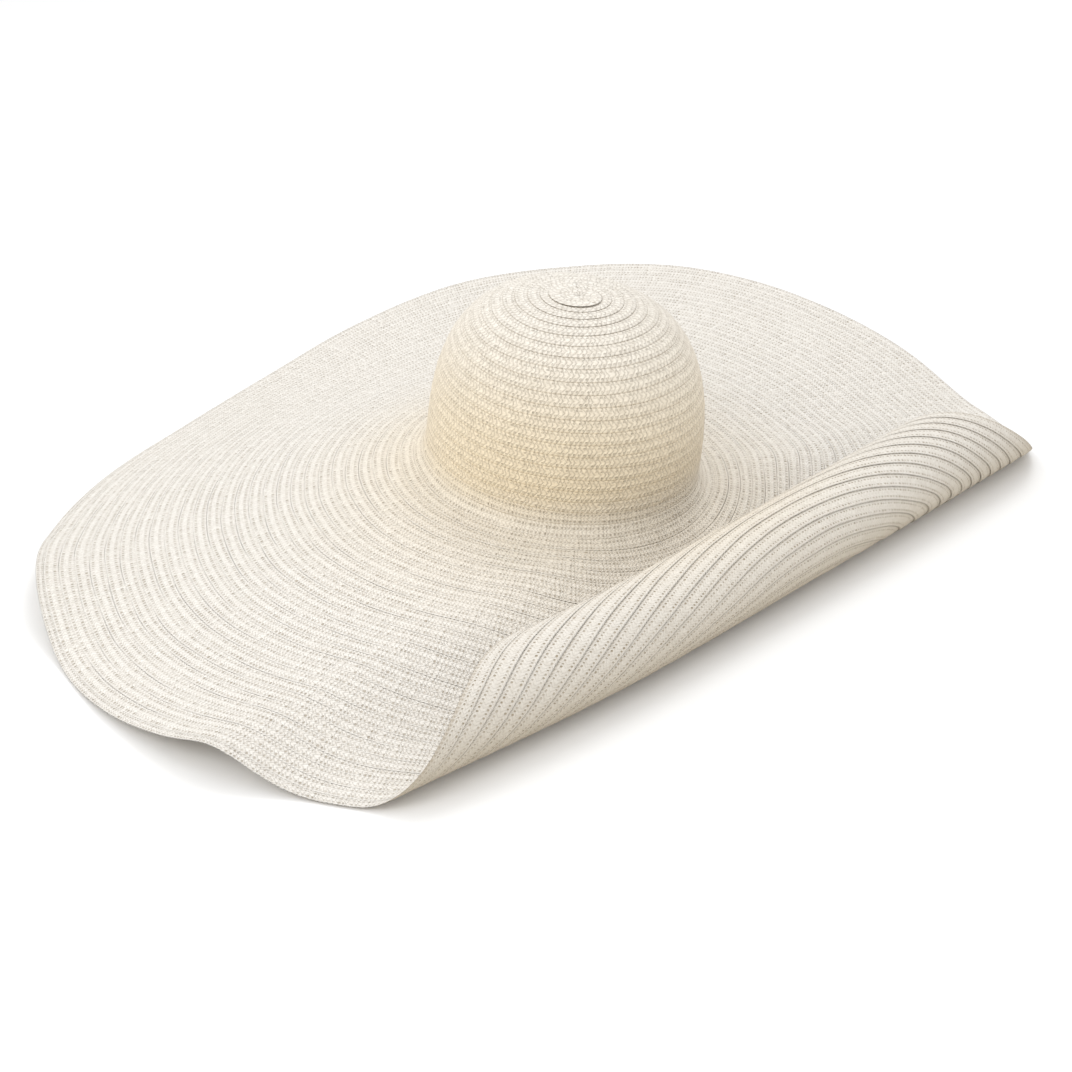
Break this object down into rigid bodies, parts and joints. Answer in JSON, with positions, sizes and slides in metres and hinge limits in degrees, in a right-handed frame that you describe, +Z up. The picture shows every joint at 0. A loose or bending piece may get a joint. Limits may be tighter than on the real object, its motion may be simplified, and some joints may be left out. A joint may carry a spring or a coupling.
{
  "type": "wide-brim straw hat",
  "caption": "Oversized floppy sun hat of cream straw braid sewn in a spiral, with a tall domed crown, a waving brim and its front rolled back in a scroll.",
  "frame": {"origin": "on the surface the hat rests on, under the middle of the whole hat's box", "axes": "+Z up out of the crown, +X from the crown towards the rolled front of the brim, +Y along the roll"},
  "size_m": [0.5514, 0.7112, 0.1687],
  "materials": {
    "straw_crown": "matte woven straw braid, cream",
    "straw_brim": "matte woven straw braid, ivory"
  },
  "bodies": {
    "root": {"crown_tip": "straw_crown", "crown": "straw_crown", "crown_foot": "straw_brim", "brim": "straw_brim"}
  },
  "joints": []
}
